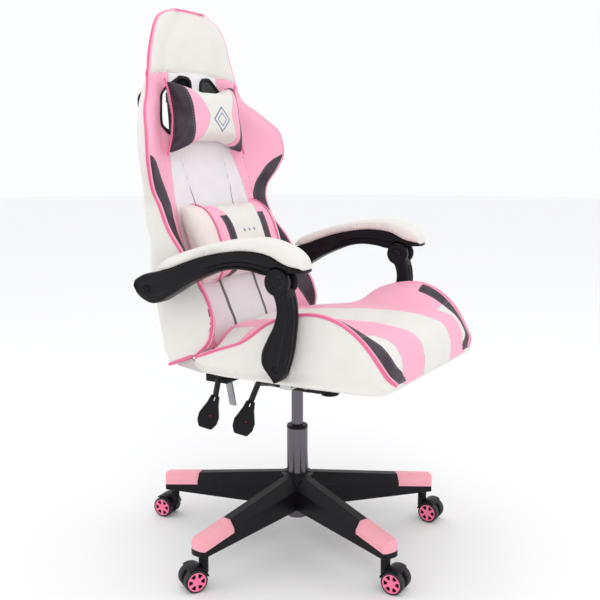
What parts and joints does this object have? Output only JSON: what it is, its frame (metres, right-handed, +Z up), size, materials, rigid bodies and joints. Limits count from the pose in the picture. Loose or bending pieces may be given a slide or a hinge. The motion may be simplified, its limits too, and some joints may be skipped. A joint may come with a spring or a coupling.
{
  "type": "gaming chair",
  "caption": "High-back bucket swivel chair with a reclining winged back, rocking seat, gas lift, linkage armrests, head and lumbar pillows and a caster base.",
  "frame": {"origin": "on the floor, on the axis of the gas lift", "axes": "+Z up, the chair faces -Y, +X is the sitter's left"},
  "size_m": [0.7226, 0.7302, 1.24],
  "materials": {
    "nylon_black": "satin",
    "pink_plastic": "satin",
    "chrome": "polished",
    "steel": "satin",
    "black_steel": "satin",
    "lever_rubber": "matte",
    "board": "matte",
    "upholstery": "satin",
    "pillow_cover": "satin",
    "pad_cover": "satin",
    "webbing": "matte",
    "caster_tyre": "matte"
  },
  "bodies": {
    "base": {"star_base": "nylon_black", "leg_caps": "pink_plastic", "caster_stems": "steel", "gas_column": "chrome", "column_bush": "nylon_black"},
    "piston": {"piston_rod": "steel", "rod_bearing_and_clip": "steel"},
    "mechanism": {"gas_cylinder": "chrome", "tilt_housing": "nylon_black", "tilt_pin": "steel", "tilt_spring": "steel"},
    "tension_knob": {"tension_knob": "nylon_black"},
    "height_lever": {"height_lever_rod": "lever_rubber", "height_paddle": "nylon_black"},
    "seat": {"seat_plate": "black_steel", "seat_bolts": "steel", "seat_board": "board", "seat_cushion": "upholstery", "recliner_seat_plates": "black_steel", "recliner_pins": "steel", "arm_brackets": "black_steel", "lever_bracket": "nylon_black"},
    "recline_lever": {"recline_lever_rod": "lever_rubber", "recline_paddle": "nylon_black"},
    "lock_bar": {"tilt_lock_bar": "black_steel"},
    "back": {"back_frame": "black_steel", "back_cushion": "upholstery", "belt_bezels": "nylon_black", "head_pillow": "pillow_cover", "lumbar_pillow": "pillow_cover", "pillow_straps": "webbing", "recliner_back_plates": "black_steel"},
    "post_left": {"arm_post_left": "nylon_black", "arm_pin_left": "steel"},
    "arm_left": {"arm_frame_left": "nylon_black", "arm_pad_left": "pad_cover"},
    "post_right": {"arm_post_right": "nylon_black", "arm_pin_right": "steel"},
    "arm_right": {"arm_frame_right": "nylon_black", "arm_pad_right": "pad_cover"},
    "caster_1": {"caster_hood_1": "nylon_black"},
    "wheels_1": {"caster_wheels_1": "caster_tyre", "hub_inserts_1": "pink_plastic", "caster_axle_1": "steel"},
    "caster_2": {"caster_hood_2": "nylon_black"},
    "wheels_2": {"caster_wheels_2": "caster_tyre", "hub_inserts_2": "pink_plastic", "caster_axle_2": "steel"},
    "caster_3": {"caster_hood_3": "nylon_black"},
    "wheels_3": {"caster_wheels_3": "caster_tyre", "hub_inserts_3": "pink_plastic", "caster_axle_3": "steel"},
    "caster_4": {"caster_hood_4": "nylon_black"},
    "wheels_4": {"caster_wheels_4": "caster_tyre", "hub_inserts_4": "pink_plastic", "caster_axle_4": "steel"},
    "caster_5": {"caster_hood_5": "nylon_black"},
    "wheels_5": {"caster_wheels_5": "caster_tyre", "hub_inserts_5": "pink_plastic", "caster_axle_5": "steel"}
  },
  "joints": [
    {"name": "seat_swivel", "type": "hinge", "parent": "base", "child": "piston", "pos_m": [0, 0, 0.06], "axis": [0, 0, 1], "continuous": true},
    {"name": "lift_slide", "type": "slide", "parent": "piston", "child": "mechanism", "axis": [0, 0, 1], "range_m": [-0.09, 0]},
    {"name": "rock_tilt", "type": "hinge", "parent": "mechanism", "child": "seat", "pos_m": [0, -0.06, 0.391], "axis": [-1, 0, 0], "range_deg": [0, 10], "stiffness_Nm_per_rad": 160, "springref_deg": -22.92},
    {"name": "tension_turn", "type": "hinge", "parent": "mechanism", "child": "tension_knob", "pos_m": [0, -0.088, 0.35], "axis": [0, 0, 1], "range_deg": [-540, 540]},
    {"name": "height_lift", "type": "hinge", "parent": "mechanism", "child": "height_lever", "pos_m": [-0.031, 0.016, 0.394], "axis": [-1, 0, 0], "range_deg": [0, 12], "stiffness_Nm_per_rad": 2, "springref_deg": -17.19},
    {"name": "recline_pull", "type": "hinge", "parent": "seat", "child": "recline_lever", "pos_m": [-0.123, 0.095, 0.421], "axis": [-1, 0, 0], "range_deg": [0, 14], "stiffness_Nm_per_rad": 2, "springref_deg": -17.19},
    {"name": "lock_swing", "type": "hinge", "parent": "seat", "child": "lock_bar", "pos_m": [-0.15, 0.092, 0.403], "axis": [1, 0, 0], "range_deg": [-12, 12]},
    {"name": "recline", "type": "hinge", "parent": "seat", "child": "back", "pos_m": [0, 0.18, 0.457], "axis": [-1, 0, 0], "range_deg": [0, 45]},
    {"name": "post_left_swing", "type": "hinge", "parent": "seat", "child": "post_left", "pos_m": [0.281, -0.127, 0.498], "axis": [-1, 0, 0], "range_deg": [-1, 46]},
    {"name": "arm_left_swing", "type": "hinge", "parent": "post_left", "child": "arm_left", "pos_m": [0.281, -0.133, 0.667], "axis": [-1, 0, 0], "range_deg": [-46, 1]},
    {"name": "post_right_swing", "type": "hinge", "parent": "seat", "child": "post_right", "pos_m": [-0.281, -0.127, 0.498], "axis": [-1, 0, 0], "range_deg": [-1, 46]},
    {"name": "arm_right_swing", "type": "hinge", "parent": "post_right", "child": "arm_right", "pos_m": [-0.281, -0.133, 0.667], "axis": [-1, 0, 0], "range_deg": [-46, 1]},
    {"name": "caster_1_swivel", "type": "hinge", "parent": "base", "child": "caster_1", "pos_m": [-0.13632, -0.30053, 0.06], "axis": [0, 0, 1], "continuous": true},
    {"name": "wheels_1_spin", "type": "hinge", "parent": "caster_1", "child": "wheels_1", "pos_m": [-0.13641, -0.32553, 0.025], "axis": [1, -0.0035, 0], "continuous": true},
    {"name": "caster_2_swivel", "type": "hinge", "parent": "base", "child": "caster_2", "pos_m": [0.24369, -0.22252, 0.06], "axis": [0, 0, 1], "continuous": true},
    {"name": "wheels_2_spin", "type": "hinge", "parent": "caster_2", "child": "wheels_2", "pos_m": [0.2436, -0.24752, 0.025], "axis": [1, -0.0035, 0], "continuous": true},
    {"name": "caster_3_swivel", "type": "hinge", "parent": "base", "child": "caster_3", "pos_m": [0.28693, 0.163, 0.06], "axis": [0, 0, 1], "continuous": true},
    {"name": "wheels_3_spin", "type": "hinge", "parent": "caster_3", "child": "wheels_3", "pos_m": [0.30608, 0.17907, 0.025], "axis": [-0.6428, 0.766, 0], "continuous": true},
    {"name": "caster_4_swivel", "type": "hinge", "parent": "base", "child": "caster_4", "pos_m": [-0.06636, 0.32326, 0.06], "axis": [0, 0, 1], "continuous": true},
    {"name": "wheels_4_spin", "type": "hinge", "parent": "caster_4", "child": "wheels_4", "pos_m": [-0.06888, 0.34813, 0.025], "axis": [-0.9949, -0.1011, 0], "continuous": true},
    {"name": "caster_5_swivel", "type": "hinge", "parent": "base", "child": "caster_5", "pos_m": [-0.32794, 0.03678, 0.06], "axis": [0, 0, 1], "continuous": true},
    {"name": "wheels_5_spin", "type": "hinge", "parent": "caster_5", "child": "wheels_5", "pos_m": [-0.34933, 0.04974, 0.025], "axis": [-0.518, -0.8554, 0], "continuous": true}
  ],
  "couplings": [
    {"joint": "post_left_swing", "follows": "recline", "ratio": 0.984},
    {"joint": "arm_left_swing", "follows": "recline", "ratio": -0.91},
    {"joint": "post_right_swing", "follows": "recline", "ratio": 0.984},
    {"joint": "arm_right_swing", "follows": "recline", "ratio": -0.91}
  ]
}
